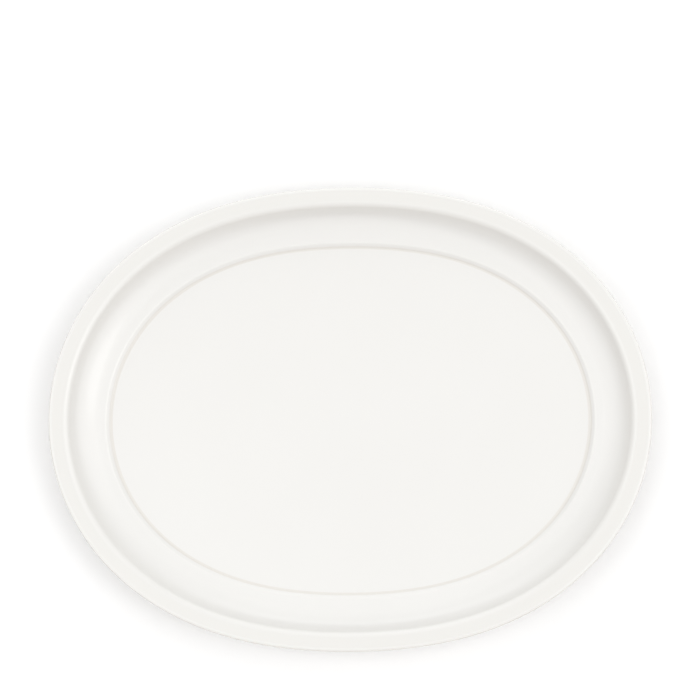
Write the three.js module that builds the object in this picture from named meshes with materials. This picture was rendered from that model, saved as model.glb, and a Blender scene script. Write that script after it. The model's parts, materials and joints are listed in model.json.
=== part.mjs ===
// An oval china serving platter: one porcelain body on a moulded foot ring, and the glaze that covers
// it everywhere but on the foot's rest face. Millimetres, +Z up, the long axis along X, and the origin
// at the centre of the rest plane.
//
// The section is drawn in (radius, height), where radius is measured on the mean circle of the rim.
// A lathe turns it round, and each turned point is then moved out or in along its own radius. The main
// move is ovality * cos(2 * angle), which makes the smooth oval of the plan. It fades a little towards
// the centre, the edge of the well is drawn nearer to an ellipse, and the cove is drawn wider at the
// ends of the oval than at its sides.
import * as THREE from "three";
import { mergeGeometries, mergeVertices } from "three/addons/utils/BufferGeometryUtils.js";

// Overall size, over the glaze
const LENGTH = 380;
const WIDTH = 293.5;
const HEIGHT = 25;
const GLAZE = 0.3;

// Plan
const MEAN_RADIUS = (LENGTH + WIDTH) / 4;
const OVALITY = (LENGTH - WIDTH) / 4;
const ROUNDER_INWARDS = 0.14; // the share of the ovality that would be gone at the centre
const ELLIPTIC_INWARDS = 0.6; // how much more elliptical the edge of the well is than the rim
const COVE_SPREAD = 3.4; // how much wider the cove is at the ends of the oval, and narrower at its sides
const SIDES = 60; // a multiple of 4, so that corners lie on both axes
const ARC_ERROR = 0.15; // the furthest that a facet lies inside the arc it stands for

// Rim band and lip
const RIM_WIDTH = 11.7; // from the edge of the lip to the top of the wall
const RIM_THICKNESS = 4.2;
const LIP_TOP_RADIUS = 1.4;
const LIP_UNDER_RADIUS = 1.7;
const LIP_LEAN = THREE.MathUtils.degToRad(15); // of the lip's outer side, inwards as it rises
const RIM_INNER_RADIUS = 4.6;

// Wall, cove and shoulder inside the rim
const WALL_INSET = 18.3; // where the wall would meet the shoulder without the cove
const COVE_RADIUS = 18;
const SHOULDER_INSET = 34.9; // the shoulder's inner edge
const SHOULDER_FALL = THREE.MathUtils.degToRad(5);
const SHOULDER_EDGE_RADIUS = 2.7;

// Step down to the flat well
const STEP_DROP = 2.1;
const STEP_RUN = 2.7;
const STEP_COVE_RADIUS = 0.8;
const FLOOR_THICKNESS = 5;

// Foot ring, moulded in one with the body
const FOOT_HEIGHT = 4.5; // of the recess inside it
const FOOT_INSET = 37.5; // from the edge of the lip to the foot's outer wall at the rest plane
const FOOT_WIDTH = 4.6; // of the flat rest face and its rounded edges
const FOOT_LEAN = Math.tan(THREE.MathUtils.degToRad(10)); // each wall of the foot thickens upwards
const FOOT_EDGE_RADIUS = 0.9;
const FOOT_ROOT_RADIUS = 2.4;
const GLAZE_LINE = 1.2; // the height on the foot where the glaze stops

// Back of the rim and shoulder
const BACK_RIM_INSET = 8; // where the back turns down from the rim
const BACK_RIM_RADIUS = 6;
const BACK_WALL_INSET = 16.3; // where the back of the wall meets the back of the shoulder
const BACK_WALL_RADIUS = 12;
const BACK_SHOULDER_HEIGHT = 10;
const BACK_FOOT_HEIGHT = 6.2;

// Where the lip's leaning side would meet its underside and its top, if they weren't rounded
const LIP_FOOT = -LIP_UNDER_RADIUS * (Math.tan(LIP_LEAN) + 1 / Math.cos(LIP_LEAN) - 1);
const LIP_BROW = LIP_FOOT + RIM_THICKNESS * Math.tan(LIP_LEAN);

const WELL_HEIGHT = FOOT_HEIGHT + FLOOR_THICKNESS;
const SHOULDER_HEIGHT = WELL_HEIGHT + STEP_DROP;
const WELL_RADIUS = MEAN_RADIUS - SHOULDER_INSET - STEP_RUN;

const porcelain = new THREE.MeshStandardMaterial({
  color: "#efece4",
  roughness: 0.75,
  metalness: 0,
});
const glaze = new THREE.MeshStandardMaterial({
  color: "#f4f3ef",
  roughness: 0.12,
  metalness: 0,
});

// A corner of the section, its inset measured from the edge of the lip, rounded with a fillet.
function corner(inset, height, radius) {
  return { point: new THREE.Vector2(MEAN_RADIUS - inset, height), radius };
}

// The arc that rounds a corner: it touches both of the corner's sides.
function fillet(before, { point, radius }, after) {
  const back = before.clone().sub(point).normalize();
  const on = after.clone().sub(point).normalize();
  const halfOpening = Math.acos(THREE.MathUtils.clamp(back.dot(on), -1, 1)) / 2;
  const turn = Math.PI - 2 * halfOpening;
  const bisector = back.clone().add(on).normalize();
  const centre = point.clone().addScaledVector(bisector, radius / Math.sin(halfOpening));
  const start = point.clone().addScaledVector(back, radius / Math.tan(halfOpening)).sub(centre);
  const turnSign = Math.sign(on.cross(back));
  const longestStep = 2 * Math.acos(Math.max(0, 1 - ARC_ERROR / radius));
  const steps = Math.max(2, Math.ceil(turn / longestStep));
  return Array.from({ length: steps + 1 }, (_, i) =>
    start.clone().rotateAround(new THREE.Vector2(), (turnSign * turn * i) / steps).add(centre),
  );
}

// The section's points from a list of corners; the first and the last stay sharp.
function rounded(corners) {
  return corners.flatMap((here, i) => {
    const sharp = i === 0 || i === corners.length - 1;
    return sharp ? [here.point] : fillet(corners[i - 1].point, here, corners[i + 1].point);
  });
}

// The face, from the glaze line outside the foot, round the back and the lip, to the centre of the well.
function glazedFaceSection() {
  return rounded([
    corner(FOOT_INSET - FOOT_LEAN * GLAZE_LINE, GLAZE_LINE, 0),
    corner(FOOT_INSET - FOOT_LEAN * BACK_FOOT_HEIGHT, BACK_FOOT_HEIGHT, FOOT_ROOT_RADIUS),
    corner(BACK_WALL_INSET, BACK_SHOULDER_HEIGHT, BACK_WALL_RADIUS),
    corner(BACK_RIM_INSET, HEIGHT - RIM_THICKNESS, BACK_RIM_RADIUS),
    corner(LIP_FOOT, HEIGHT - RIM_THICKNESS, LIP_UNDER_RADIUS),
    corner(LIP_BROW, HEIGHT, LIP_TOP_RADIUS),
    corner(RIM_WIDTH, HEIGHT, RIM_INNER_RADIUS),
    corner(
      WALL_INSET,
      SHOULDER_HEIGHT + (SHOULDER_INSET - WALL_INSET) * Math.tan(SHOULDER_FALL),
      COVE_RADIUS,
    ),
    corner(SHOULDER_INSET, SHOULDER_HEIGHT, SHOULDER_EDGE_RADIUS),
    corner(SHOULDER_INSET + STEP_RUN, WELL_HEIGHT, STEP_COVE_RADIUS),
    corner(MEAN_RADIUS, WELL_HEIGHT, 0),
  ]);
}

// The recess inside the foot, from the centre to the glaze line on the foot's inner wall.
function glazedBaseSection() {
  const inner = FOOT_INSET + FOOT_WIDTH;
  return rounded([
    corner(MEAN_RADIUS, FOOT_HEIGHT, 0),
    corner(inner + FOOT_LEAN * FOOT_HEIGHT, FOOT_HEIGHT, FOOT_ROOT_RADIUS),
    corner(inner + FOOT_LEAN * GLAZE_LINE, GLAZE_LINE, 0),
  ]);
}

// The bare rest face of the foot, between the two glaze lines.
function bareFootSection(start, end) {
  const inner = corner(FOOT_INSET + FOOT_WIDTH, 0, FOOT_EDGE_RADIUS);
  const outer = corner(FOOT_INSET, 0, FOOT_EDGE_RADIUS);
  return [...fillet(start, inner, outer.point), ...fillet(inner.point, outer, end)];
}

// The same section a given depth inside the surface. An end that lies on the axis has its neighbour
// mirrored beyond it; any other end is a glaze line and stays, so that the coat thins to nothing there.
function inset(section, depth) {
  const last = section.length - 1;
  const mirrored = ({ x, y }) => new THREE.Vector2(-x, y);
  return section.map((here, i) => {
    if ((i === 0 || i === last) && here.x > 0) return here.clone();
    const before = section[i - 1] ?? mirrored(section[1]);
    const after = section[i + 1] ?? mirrored(section[last - 1]);
    const sideIn = here.clone().sub(before).normalize();
    const sideOut = after.clone().sub(here).normalize();
    const bisector = sideIn.clone().add(sideOut).normalize();
    const reach = depth / bisector.dot(sideOut);
    return new THREE.Vector2(here.x - bisector.y * reach, here.y + bisector.x * reach);
  });
}

// Turns a section into an oval surface whose outside is on the section's right-hand side.
function ovalSurface(section) {
  const geometry = new THREE.LatheGeometry(section, SIDES).rotateX(Math.PI / 2);
  geometry.deleteAttribute("normal");
  geometry.deleteAttribute("uv");
  const place = geometry.getAttribute("position");
  for (let i = 0; i < place.count; i++) {
    const x = place.getX(i);
    const y = place.getY(i);
    const radius = Math.hypot(x, y);
    if (radius < 1e-6) continue;
    const cos2 = (x * x - y * y) / (radius * radius);
    const cos4 = 2 * cos2 * cos2 - 1;
    const oval = OVALITY * (1 - ROUNDER_INWARDS * (1 - radius / MEAN_RADIUS)) * cos2;
    const inwards = Math.min(1, (MEAN_RADIUS - radius) / (MEAN_RADIUS - WELL_RADIUS));
    const inWell = Math.min(1, radius / WELL_RADIUS);
    const acrossCove = (MEAN_RADIUS - RIM_WIDTH - radius) / (SHOULDER_INSET - RIM_WIDTH);
    const cove = COVE_SPREAD * Math.sin(Math.PI * THREE.MathUtils.clamp(acrossCove, 0, 1)) ** 2 * cos2;
    const stretch = 1 + (inWell * (oval + ELLIPTIC_INWARDS * inwards * cos4) - cove) / radius;
    place.setXY(i, x * stretch, y * stretch);
  }
  return geometry;
}

// The same surface with its outside on the other side.
function turnedOver(surface) {
  const corners = surface.index.array.toReversed();
  return surface.clone().setIndex(new THREE.BufferAttribute(corners, 1));
}

// One closed solid from the surfaces that bound it.
function solid(name, material, ...surfaces) {
  const geometry = mergeVertices(mergeGeometries(surfaces), 1e-4);
  geometry.computeVertexNormals();
  const mesh = new THREE.Mesh(geometry, material);
  mesh.name = name;
  return mesh;
}

const faceSection = glazedFaceSection();
const baseSection = glazedBaseSection();
const bodyFaceSection = inset(faceSection, GLAZE);
const bodyBaseSection = inset(baseSection, GLAZE);
const bodyFootSection = bareFootSection(baseSection.at(-1), faceSection[0]);
const bodySection = [...bodyBaseSection, ...bodyFootSection, ...bodyFaceSection];

const platter = new THREE.Group();
platter.add(
  solid("porcelain_body", porcelain, ovalSurface(bodySection)),
  solid("glaze_coat_face", glaze, ovalSurface(faceSection), turnedOver(ovalSurface(bodyFaceSection))),
  solid("glaze_coat_base", glaze, ovalSurface(baseSection), turnedOver(ovalSurface(bodyBaseSection))),
);

export default platter;
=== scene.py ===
"""The looks of an oval white china serving platter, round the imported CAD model. Metres, +Z up.

The three pieces are swept from the CAD model's own section, much finer than its facets: a porcelain
body, the glaze over its face and back, and the glaze inside the foot ring.
"""
import json
import math

import bpy
import numpy as np
from mathutils import Matrix, Vector, noise


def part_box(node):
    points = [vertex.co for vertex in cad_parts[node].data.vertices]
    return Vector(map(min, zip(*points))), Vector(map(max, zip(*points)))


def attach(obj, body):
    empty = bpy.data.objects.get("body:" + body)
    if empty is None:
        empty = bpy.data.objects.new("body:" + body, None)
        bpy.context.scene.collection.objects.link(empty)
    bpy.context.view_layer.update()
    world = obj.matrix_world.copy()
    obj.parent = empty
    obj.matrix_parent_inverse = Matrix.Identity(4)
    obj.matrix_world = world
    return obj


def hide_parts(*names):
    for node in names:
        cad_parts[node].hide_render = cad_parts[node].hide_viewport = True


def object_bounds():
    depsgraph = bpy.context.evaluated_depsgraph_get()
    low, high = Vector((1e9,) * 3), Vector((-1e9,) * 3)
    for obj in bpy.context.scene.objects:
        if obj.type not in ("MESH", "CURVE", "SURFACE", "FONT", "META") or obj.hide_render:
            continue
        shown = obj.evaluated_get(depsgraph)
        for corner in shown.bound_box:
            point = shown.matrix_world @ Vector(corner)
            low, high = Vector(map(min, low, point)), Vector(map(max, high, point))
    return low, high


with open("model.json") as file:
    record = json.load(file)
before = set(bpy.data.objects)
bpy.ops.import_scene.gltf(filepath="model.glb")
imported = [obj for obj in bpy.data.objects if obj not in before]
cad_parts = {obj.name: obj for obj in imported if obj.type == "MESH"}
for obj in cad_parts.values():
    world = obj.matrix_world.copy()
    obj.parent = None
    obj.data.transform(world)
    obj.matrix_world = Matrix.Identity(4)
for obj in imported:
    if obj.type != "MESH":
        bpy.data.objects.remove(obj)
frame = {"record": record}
cad_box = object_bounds()

MM = 0.001

# ---------------------------------------------------------------- sizes read from the frame
LENGTH, WIDTH, HEIGHT = cad_box[1] - cad_box[0]
MEAN_RADIUS = (LENGTH + WIDTH) / 4
OVALITY = (LENGTH - WIDTH) / 4
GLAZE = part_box("glaze_coat_face")[1].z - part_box("porcelain_body")[1].z
GLAZE_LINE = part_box("glaze_coat_face")[0].z
WELL_HEIGHT = next(m["pos_m"][2] for m in frame["record"]["mounts"] if m["name"] == "well_floor")
FOOT_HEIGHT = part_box("glaze_coat_base")[1].z - GLAZE

# ---------------------------------------------------------------- the section, as in the CAD model
ROUNDER_INWARDS = 0.14
ELLIPTIC_INWARDS = 0.6 * MM
COVE_SPREAD = 3.4 * MM
RIM_WIDTH = 11.7 * MM
RIM_THICKNESS = 4.2 * MM
LIP_TOP_RADIUS = 1.4 * MM
LIP_UNDER_RADIUS = 1.7 * MM
LIP_LEAN = math.radians(15)
RIM_INNER_RADIUS = 4.6 * MM
WALL_INSET = 18.3 * MM
COVE_RADIUS = 18 * MM
SHOULDER_INSET = 34.9 * MM
SHOULDER_FALL = math.radians(5)
SHOULDER_EDGE_RADIUS = 2.7 * MM
STEP_DROP = 2.1 * MM
STEP_RUN = 2.7 * MM
STEP_COVE_RADIUS = 0.8 * MM
FOOT_INSET = 37.5 * MM
FOOT_WIDTH = 4.6 * MM
FOOT_LEAN = math.tan(math.radians(10))
FOOT_EDGE_RADIUS = 0.9 * MM
FOOT_ROOT_RADIUS = 2.4 * MM
BACK_RIM_INSET = 8 * MM
BACK_RIM_RADIUS = 6 * MM
BACK_WALL_INSET = 16.3 * MM
BACK_WALL_RADIUS = 12 * MM
BACK_SHOULDER_HEIGHT = 10 * MM
BACK_FOOT_HEIGHT = 6.2 * MM
LIP_FOOT = -LIP_UNDER_RADIUS * (math.tan(LIP_LEAN) + 1 / math.cos(LIP_LEAN) - 1)
LIP_BROW = LIP_FOOT + RIM_THICKNESS * math.tan(LIP_LEAN)
SHOULDER_HEIGHT = WELL_HEIGHT + STEP_DROP
WELL_RADIUS = MEAN_RADIUS - SHOULDER_INSET - STEP_RUN

# ---------------------------------------------------------------- fineness of the surfaces
COLUMNS = 400
ARC_STEP = math.radians(8)
FEWEST_ARC_STEPS = 3
LONGEST_STRAIGHT = 8 * MM
NEAR_THE_ENDS = (0.5 * MM, 1.3 * MM)  # where a straight has extra points, from each of its ends
SAME_POINT = 1e-7

# ---------------------------------------------------------------- unevenness left by the kiln
WARP_FREE_HEIGHT = 5 * MM  # the foot stays level up to here
WARP_WAVES = ((0.22 * MM, 7.0), (0.05 * MM, 21.0))  # lift, and waves to the metre

# ---------------------------------------------------------------- where the glaze changes its tone, and where shade is painted into it
POOL_AND_SHADE_SPREAD = 0.6 * MM  # how far the pooled tone and the painted shade fade off
POOL_AND_SHADE_RADIUS = 3 * MM  # a hollow as tight as this, or tighter, gets the full pooled tone and painted shade
POOL_AND_SHADE_SEEN = (0.15, 0.8)  # the concavity where the pooled tone and painted shade begin to show, and where they are full
EDGE_SEEN = (-0.2, -1.0)  # the same for the thin glaze on edges
TONE_HEIGHTS = (15 * MM, 22 * MM)  # between the tone of the well and that of the rim
LIP_SHADE_REACH = 0.4 * MM  # how far inside the lip's upper corner the painted shade ends
LIP_SHADE_FADE = 0.6 * MM
LIP_SHADE_MIDDLE = 0.45  # as a share of the lip's height
LIP_SHADE_FULL = 0.136  # the share of the height above and below the middle with the full shade
LIP_SHADE_END = 0.591  # and that where it ends

# ---------------------------------------------------------------- colours
WELL_WHITE = (0.824, 0.818, 0.796)
RIM_WHITE = (0.803, 0.795, 0.766)
EDGE_WHITE = (0.830, 0.824, 0.800)
# creamier tone of pooled glaze, and also painted shade in the hollows
POOLED_CREAM_AND_SHADE = (0.768, 0.746, 0.705)
# painted shade on the lip's outer side
LIP_PAINTED_SHADE = (0.635, 0.61, 0.555)
CLOUD_GREY = (0.70, 0.69, 0.66)
PINHOLE_BROWN = (0.60, 0.56, 0.49)
BARE_PALE = (0.79, 0.76, 0.70)
BARE_DEEP = (0.73, 0.695, 0.63)
RUBBED_GREY = (0.60, 0.585, 0.55)
GRIT_BROWN = (0.52, 0.48, 0.42)
FLOOR_WHITE = (0.98, 0.98, 0.98)

# ---------------------------------------------------------------- fine relief
# waves to the metre, detail of the noise, and height of the relief
GLAZE_RELIEF = ((24, 1, 0.05 * MM), (120, 1, 0.003 * MM), (520, 2, 0.0006 * MM))
PINHOLE_DEPTH = 0.03 * MM
PINHOLES = {"per_metre": 38, "radius": 0.3 * MM, "share": 0.3}
GRIT = {"per_metre": 700, "radius": 0.25 * MM, "share": 0.25}

# ---------------------------------------------------------------- the set
FLOOR_SIZE = 4.0
FLOOR_DROP = 0.1 * MM  # below the foot's rest face, so that the two don't coincide

# ---------------------------------------------------------------- light, as radiance
OVERHEAD = (0.705, 0.705, 0.705)
HORIZON_FAR = (0.52, 0.52, 0.52)
HORIZON_NEAR = (0.67, 0.60, 0.57)
HORIZON_BAND = (0.10, 0.62)  # the sines of the elevations between horizon and overhead
# azimuth and elevation of the middle, degrees from there to the full and to the faded edge, radiance
LIGHT_BANKS = (
    (-11, 54, 3, 14, 1.25),
    (-10, 50, 5, 42, 1.06),
    (191, 61, 6, 30, 0.66),
    (200, 48, 6, 42, 0.40),
    (100, 12, 8, 45, 1.0),
)


def corner(inset, height, radius=0.0):
    """A corner of the section, its inset measured from the edge of the lip."""
    return np.array([MEAN_RADIUS - inset, height]), radius


def unit(v):
    return v / max(np.linalg.norm(v), 1e-12)


def fillet(before, here, after):
    """The arc that rounds a corner."""
    point, radius = here
    back, on = unit(before - point), unit(after - point)
    half_opening = math.acos(np.clip(back @ on, -1, 1)) / 2
    turn = math.pi - 2 * half_opening
    centre = point + unit(back + on) * radius / math.sin(half_opening)
    spoke = point + back * radius / math.tan(half_opening) - centre
    way = np.sign(on[0] * back[1] - on[1] * back[0])
    steps = max(FEWEST_ARC_STEPS, math.ceil(turn / ARC_STEP))
    angles = way * turn * np.arange(steps + 1) / steps
    across = spoke[0] * np.cos(angles) - spoke[1] * np.sin(angles)
    upwards = spoke[0] * np.sin(angles) + spoke[1] * np.cos(angles)
    return list(centre + np.stack([across, upwards], axis=1))


def split_straights(points):
    """The same section with points along its long straight stretches, closer together at their ends."""
    fine = [points[0]]
    for end in points[1:]:
        start = fine[-1]
        length = np.linalg.norm(end - start)
        along = set(np.linspace(0, length, max(1, math.ceil(length / LONGEST_STRAIGHT)) + 1)[1:])
        if length > LONGEST_STRAIGHT / 2:
            along |= {at for near in NEAR_THE_ENDS for at in (near, length - near)}
        fine += [start + (end - start) * at / length for at in sorted(along)]
    return np.array(fine)


def rounded(corners):
    """The section's points from a list of corners; the first and the last stay sharp."""
    points = [corners[0][0]]
    for before, here, after in zip(corners, corners[1:], corners[2:]):
        points += fillet(before[0], here, after[0])
    return split_straights(points + [corners[-1][0]])


def face_section():
    """From the glaze line outside the foot, round the back and the lip, to the middle of the well."""
    shoulder_start = SHOULDER_HEIGHT + (SHOULDER_INSET - WALL_INSET) * math.tan(SHOULDER_FALL)
    return rounded([
        corner(FOOT_INSET - FOOT_LEAN * GLAZE_LINE, GLAZE_LINE),
        corner(FOOT_INSET - FOOT_LEAN * BACK_FOOT_HEIGHT, BACK_FOOT_HEIGHT, FOOT_ROOT_RADIUS),
        corner(BACK_WALL_INSET, BACK_SHOULDER_HEIGHT, BACK_WALL_RADIUS),
        corner(BACK_RIM_INSET, HEIGHT - RIM_THICKNESS, BACK_RIM_RADIUS),
        corner(LIP_FOOT, HEIGHT - RIM_THICKNESS, LIP_UNDER_RADIUS),
        corner(LIP_BROW, HEIGHT, LIP_TOP_RADIUS),
        corner(RIM_WIDTH, HEIGHT, RIM_INNER_RADIUS),
        corner(WALL_INSET, shoulder_start, COVE_RADIUS),
        corner(SHOULDER_INSET, SHOULDER_HEIGHT, SHOULDER_EDGE_RADIUS),
        corner(SHOULDER_INSET + STEP_RUN, WELL_HEIGHT, STEP_COVE_RADIUS),
        corner(MEAN_RADIUS, WELL_HEIGHT),
    ])


def base_section():
    """The recess inside the foot, from its middle to the glaze line."""
    inner = FOOT_INSET + FOOT_WIDTH
    return rounded([
        corner(MEAN_RADIUS, FOOT_HEIGHT),
        corner(inner + FOOT_LEAN * FOOT_HEIGHT, FOOT_HEIGHT, FOOT_ROOT_RADIUS),
        corner(inner + FOOT_LEAN * GLAZE_LINE, GLAZE_LINE),
    ])


def bare_foot_section(start, end):
    """The rest face of the foot, between the two glaze lines."""
    inner = corner(FOOT_INSET + FOOT_WIDTH, 0, FOOT_EDGE_RADIUS)
    outer = corner(FOOT_INSET, 0, FOOT_EDGE_RADIUS)
    return split_straights(fillet(start, inner, outer[0]) + fillet(inner[0], outer, end))


def inset(section, depth):
    """The same section a given depth inside the surface; an end that isn't on the axis stays."""
    mirror = np.array([-1.0, 1.0])
    whole = np.vstack([section[1] * mirror, section, section[-2] * mirror])
    moved = []
    for before, here, after in zip(whole, whole[1:], whole[2:]):
        side_in, side_out = unit(here - before), unit(after - here)
        bisector = unit(side_in + side_out)
        moved.append(here + np.array([-bisector[1], bisector[0]]) * depth / (bisector @ side_out))
    for end in (0, -1):
        if section[end][0] > MM:
            moved[end] = section[end]
    return np.array(moved)


def oval(section):
    """Grid of points, section by column, that the section sweeps round the oval plan."""
    angle = 2 * math.pi * np.arange(COLUMNS) / COLUMNS
    radius = section[:, :1]
    rounder = OVALITY * (1 - ROUNDER_INWARDS * (1 - radius / MEAN_RADIUS)) * np.cos(2 * angle)
    inwards = np.minimum(1, (MEAN_RADIUS - radius) / (MEAN_RADIUS - WELL_RADIUS))
    in_well = np.minimum(1, radius / WELL_RADIUS)
    across_cove = np.clip((MEAN_RADIUS - RIM_WIDTH - radius) / (SHOULDER_INSET - RIM_WIDTH), 0, 1)
    cove = COVE_SPREAD * np.sin(math.pi * across_cove) ** 2 * np.cos(2 * angle)
    reach = radius + in_well * (rounder + ELLIPTIC_INWARDS * inwards * np.cos(4 * angle)) - cove
    height = np.repeat(section[:, 1:], COLUMNS, axis=1)
    return np.stack([reach * np.cos(angle), reach * np.sin(angle), height], axis=2)


def firing_warp(grid):
    """The slight unevenness that drying and firing leave: a lift that fades out towards the foot."""
    warped = grid.copy()
    for index in np.ndindex(grid.shape[:2]):
        x, y, z = grid[index]
        hold = np.clip((z - WARP_FREE_HEIGHT) / (WELL_HEIGHT - WARP_FREE_HEIGHT), 0, 1)
        if hold > 0:
            for amount, per_metre in WARP_WAVES:
                place = Vector((x * per_metre, y * per_metre, per_metre))
                warped[index][2] += amount * hold * noise.noise(place)
    return warped


class Shell:
    """Vertices and faces of one closed piece, put together from swept sections."""

    def __init__(self):
        self.vertices, self.faces, self.pool, self.lip = [], [], [], []

    def add(self, section, inside_out=False):
        pool, lip = concavity(section), nearness_to_lip(section)
        grid = firing_warp(oval(section))
        rows = []
        for j, row in enumerate(grid):
            start = len(self.vertices)
            on_axis = section[j][0] < SAME_POINT
            points = row[:1] * [0, 0, 1] if on_axis else row
            self.vertices += [tuple(p) for p in points]
            self.pool += [pool[j]] * len(points)
            self.lip += [lip[j]] * len(points)
            rows.append([start] * COLUMNS if on_axis else list(range(start, start + COLUMNS)))
        for low, high in zip(rows, rows[1:]):
            for k in range(COLUMNS):
                n = (k + 1) % COLUMNS
                face = list(dict.fromkeys((low[k], low[n], high[n], high[k])))
                self.faces.append(face[::-1] if inside_out else face)

    def piece(self, name, finish, node):
        """The closed piece in the scene, standing for its CAD node."""
        mesh = bpy.data.meshes.new(name)
        mesh.from_pydata(self.vertices, [], self.faces)
        for label, values in (("pool", self.pool), ("lip", self.lip)):
            attribute = mesh.attributes.new(label, "FLOAT", "POINT")
            attribute.data.foreach_set("value", np.array(values, np.float32))
        obj = bpy.data.objects.new(name, mesh)
        bpy.context.scene.collection.objects.link(obj)
        weld = obj.modifiers.new("weld", "WELD")
        weld.merge_threshold = SAME_POINT
        bpy.context.view_layer.objects.active = obj
        obj.select_set(True)
        bpy.ops.object.modifier_apply(modifier=weld.name)
        obj.select_set(False)
        obj.data.shade_smooth()
        obj.data.materials.append(finish)
        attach(obj, "root")
        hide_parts(node)


def concavity(section):
    """How far each point of the section lies in a hollow, where glaze pools and shade is painted, from -1
    to 1.
    """
    heading = np.unwrap(np.arctan2(*np.diff(section, axis=0).T[::-1]))
    turn = -np.diff(heading)
    step = np.linalg.norm(np.diff(section, axis=0), axis=1)
    bend = turn / np.maximum(step[1:] + step[:-1], 1e-9) * 2
    full = np.concatenate([[0], bend, [0]])
    at = np.concatenate([[0], np.cumsum(step)])
    spread = np.exp(-(((at[:, None] - at[None, :]) / POOL_AND_SHADE_SPREAD) ** 2))
    smooth = (spread @ full) / spread.sum(1)
    return np.clip(smooth * POOL_AND_SHADE_RADIUS, -1, 1)


def nearness_to_lip(section):
    """1 on the lip's outer side, fading out above and below it: the mask of the shade painted on the lip.
    """
    inset_there = MEAN_RADIUS - section[:, 0]
    up_the_lip = (section[:, 1] - (HEIGHT - RIM_THICKNESS)) / RIM_THICKNESS
    outside = np.clip((LIP_BROW + LIP_SHADE_REACH - inset_there) / LIP_SHADE_FADE, 0, 1)
    to_the_end = LIP_SHADE_END - np.abs(up_the_lip - LIP_SHADE_MIDDLE)
    return outside * np.clip(to_the_end / (LIP_SHADE_END - LIP_SHADE_FULL), 0, 1)


# ---------------------------------------------------------------- materials
class Nodes:
    """Short names for making the nodes of a material or a world."""

    def __init__(self, owner, shader, coordinates):
        owner.use_nodes = True
        self.owner = owner
        self.tree = owner.node_tree
        self.shader = self.tree.nodes[shader]
        self.place = self.node("ShaderNodeTexCoord").outputs[coordinates]

    def node(self, kind, **settings):
        made = self.tree.nodes.new(kind)
        for key, value in settings.items():
            setattr(made, key, value)
        return made

    def link(self, a, b):
        self.tree.links.new(a, b)

    def noise(self, per_metre, detail=2.0, roughness=0.5):
        made = self.node("ShaderNodeTexNoise")
        made.inputs["Scale"].default_value = per_metre
        made.inputs["Detail"].default_value = detail
        made.inputs["Roughness"].default_value = roughness
        self.link(self.place, made.inputs["Vector"])
        return made.outputs["Fac"]

    def attribute(self, label):
        return self.node("ShaderNodeAttribute", attribute_name=label).outputs["Fac"]

    def ramp(self, value, low, high, to_low=0.0, to_high=1.0, kind="LINEAR"):
        """Maps low and high to two other values, and holds those outside."""
        made = self.node("ShaderNodeMapRange", interpolation_type=kind)
        for socket, number in zip(made.inputs[1:5], (low, high, to_low, to_high)):
            socket.default_value = number
        self.link(value, made.inputs[0])
        return made.outputs[0]

    def maths(self, operation, a, b):
        made = self.node("ShaderNodeMath", operation=operation)
        for socket, value in zip(made.inputs, (a, b)):
            if isinstance(value, (int, float)):
                socket.default_value = value
            else:
                self.link(value, socket)
        return made.outputs[0]

    def mix(self, share, a, b, blend="MIX"):
        made = self.node("ShaderNodeMix", data_type="RGBA", blend_type=blend)
        self.link(share, made.inputs[0])
        for socket, colour in ((made.inputs[6], a), (made.inputs[7], b)):
            if isinstance(colour, tuple):
                socket.default_value = (*colour, 1)
            else:
                self.link(colour, socket)
        return made.outputs[2]

    def bump(self, height, distance, below=None):
        """The normal of a relief of a height in metres, on top of the one below."""
        made = self.node("ShaderNodeBump")
        made.inputs["Distance"].default_value = distance
        made.inputs["Strength"].default_value = 1.0
        self.link(height, made.inputs["Height"])
        if below is not None:
            self.link(below, made.inputs["Normal"])
        return made.outputs["Normal"]

    def specks(self, per_metre, radius, share):
        """1 in the middle of sparse round specks of a radius in metres, on a share of the cells."""
        cells = self.node("ShaderNodeTexVoronoi")
        cells.inputs["Scale"].default_value = per_metre
        self.link(self.place, cells.inputs["Vector"])
        near = self.ramp(cells.outputs["Distance"], 0, radius * per_metre, 1, 0)
        chosen = self.node("ShaderNodeSeparateColor")
        self.link(cells.outputs["Color"], chosen.inputs[0])
        return self.maths("MULTIPLY", near, self.maths("LESS_THAN", chosen.outputs[0], share))


def material(name):
    return Nodes(bpy.data.materials.new(name), "Principled BSDF", "Object")


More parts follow.
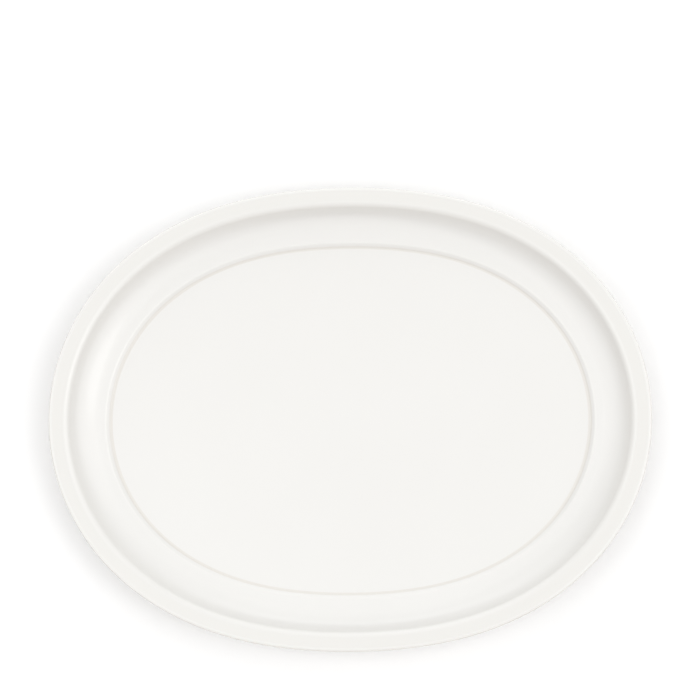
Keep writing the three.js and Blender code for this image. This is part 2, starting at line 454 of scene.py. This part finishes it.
def white_glaze():
    """Warm white under a clear gloss coat: creamier where it pooled, with painted shade in the hollows and
    on the lip's outer side, soft waves and a few pinholes.
    """
    n = material("white_glaze")
    axes = n.node("ShaderNodeSeparateXYZ")
    n.link(n.place, axes.inputs[0])
    pool = n.attribute("pool")
    pinholes = n.specks(**PINHOLES)
    colour = n.mix(n.ramp(axes.outputs["Z"], *TONE_HEIGHTS), WELL_WHITE, RIM_WHITE)
    colour = n.mix(n.ramp(n.noise(14, 3), 0.3, 0.7, 0, 0.06), colour, CLOUD_GREY)
    # pooled glaze and painted shade in hollows such as the cove and the foot of the step
    colour = n.mix(n.ramp(pool, *POOL_AND_SHADE_SEEN), colour, POOLED_CREAM_AND_SHADE)
    colour = n.mix(n.ramp(pool, *EDGE_SEEN), colour, EDGE_WHITE)
    # painted shade on the lip's outer side
    colour = n.mix(n.attribute("lip"), colour, LIP_PAINTED_SHADE)
    colour = n.mix(pinholes, colour, PINHOLE_BROWN)
    n.link(colour, n.shader.inputs["Base Color"])
    n.link(n.ramp(n.noise(55, 2), 0.3, 0.7, 0.29, 0.36), n.shader.inputs["Roughness"])
    n.shader.inputs["Specular IOR Level"].default_value = 0.15
    n.shader.inputs["Coat Weight"].default_value = 1.0
    n.shader.inputs["Coat Roughness"].default_value = 0.045
    n.shader.inputs["Coat IOR"].default_value = 1.5
    surface = None
    for per_metre, detail, height in GLAZE_RELIEF:
        surface = n.bump(n.noise(per_metre, detail), height, surface)
    surface = n.bump(n.maths("SUBTRACT", 1.0, pinholes), PINHOLE_DEPTH, surface)
    n.link(surface, n.shader.inputs["Normal"])
    n.link(surface, n.shader.inputs["Coat Normal"])
    return n.owner


def bare_porcelain():
    """The unglazed, ground foot: matt and fine-grained, greyer where it has rubbed on a shelf."""
    n = material("bare_porcelain")
    rubbed = n.ramp(n.noise(160, 5, 0.7), 0.52, 0.68)
    colour = n.mix(n.ramp(n.noise(90, 4, 0.6), 0.3, 0.7), BARE_PALE, BARE_DEEP)
    colour = n.mix(rubbed, colour, RUBBED_GREY)
    colour = n.mix(n.specks(**GRIT), colour, GRIT_BROWN)
    n.link(colour, n.shader.inputs["Base Color"])
    n.link(n.ramp(rubbed, 0, 1, 0.82, 0.55), n.shader.inputs["Roughness"])
    n.link(n.bump(n.noise(2600, 3, 0.7), 0.02 * MM), n.shader.inputs["Normal"])
    return n.owner


# ---------------------------------------------------------------- the three pieces
def make_platter():
    face, base = face_section(), base_section()
    body_face, body_base = inset(face, GLAZE), inset(base, GLAZE)
    foot = bare_foot_section(base[-1], face[0])
    glaze, bare = white_glaze(), bare_porcelain()

    coat = Shell()
    coat.add(face)
    coat.add(body_face, inside_out=True)
    coat.piece("china_glaze_face", glaze, "glaze_coat_face")

    coat = Shell()
    coat.add(base)
    coat.add(body_base, inside_out=True)
    coat.piece("china_glaze_base", glaze, "glaze_coat_base")

    body = Shell()
    body.add(np.vstack([body_base, foot, body_face]))
    body.piece("china_porcelain_body", bare, "porcelain_body")


# ---------------------------------------------------------------- the set
def make_floor():
    half = FLOOR_SIZE / 2
    mesh = bpy.data.meshes.new("floor")
    plan = ((-half, -half), (half, -half), (half, half), (-half, half))
    mesh.from_pydata([(x, y, -FLOOR_DROP) for x, y in plan], [], [(0, 1, 2, 3)])
    floor = bpy.data.objects.new("floor", mesh)
    bpy.context.scene.collection.objects.link(floor)
    n = material("floor")
    n.shader.inputs["Base Color"].default_value = (*FLOOR_WHITE, 1)
    n.shader.inputs["Roughness"].default_value = 0.9
    n.shader.inputs["Specular IOR Level"].default_value = 0.0
    mesh.materials.append(n.owner)


def direction(azimuth, elevation):
    """Azimuth 0 is to the right, 90 on the far side; both in degrees."""
    across, up = math.radians(azimuth), math.radians(elevation)
    return (math.cos(up) * math.cos(across), math.cos(up) * math.sin(across), math.sin(up))


def make_studio():
    """A pale ceiling and duller walls, warmer in front, with soft-edged light banks before them."""
    world = bpy.data.worlds.new("studio")
    n = Nodes(world, "Background", "Generated")
    axes = n.node("ShaderNodeSeparateXYZ")
    n.link(n.place, axes.inputs[0])
    far = n.ramp(axes.outputs["Y"], -1, 1)
    horizon = n.mix(far, HORIZON_NEAR, HORIZON_FAR)
    height = n.ramp(axes.outputs["Z"], *HORIZON_BAND, kind="SMOOTHSTEP")
    colour = n.mix(height, horizon, OVERHEAD)
    for azimuth, elevation, inner, outer, radiance in LIGHT_BANKS:
        towards = n.node("ShaderNodeVectorMath", operation="DOT_PRODUCT")
        n.link(n.place, towards.inputs[0])
        towards.inputs[1].default_value = direction(azimuth, elevation)
        edges = math.cos(math.radians(outer)), math.cos(math.radians(inner))
        bank = n.ramp(towards.outputs["Value"], *edges, kind="SMOOTHSTEP")
        colour = n.mix(bank, colour, (radiance,) * 3, "ADD")
    n.link(colour, n.shader.inputs["Color"])
    bpy.context.scene.world = world


def make_set():
    make_floor()
    make_studio()
    bpy.context.scene.view_settings.view_transform = "Standard"


def make_camera():
    """Nearly straight down on the platter, which sits low in the frame."""
    lean_front, lean_right = math.radians(5.3), math.radians(1.5)
    roll = math.radians(-0.55)
    distance = 1.75
    target = Vector((0, 0, HEIGHT))
    backwards = Vector((math.sin(lean_right), -math.sin(lean_front), math.cos(lean_front))).normalized()
    right = Vector((math.cos(roll), math.sin(roll), 0))
    up = backwards.cross(right).normalized()
    right = up.cross(backwards).normalized()
    turned = Matrix((right, up, backwards)).transposed().to_4x4()
    data = bpy.data.cameras.new("camera")
    camera = bpy.data.objects.new("camera", data)
    bpy.context.scene.collection.objects.link(camera)
    camera.matrix_world = Matrix.Translation(target + backwards * distance) @ turned
    data.sensor_width = 36
    share_of_frame = 0.8637  # the platter's length over the width of the frame
    data.lens = data.sensor_width * share_of_frame * distance / LENGTH
    data.shift_x = 0.0009
    data.shift_y = 0.0966
    bpy.context.scene.camera = camera


make_platter()
make_set()
make_camera()
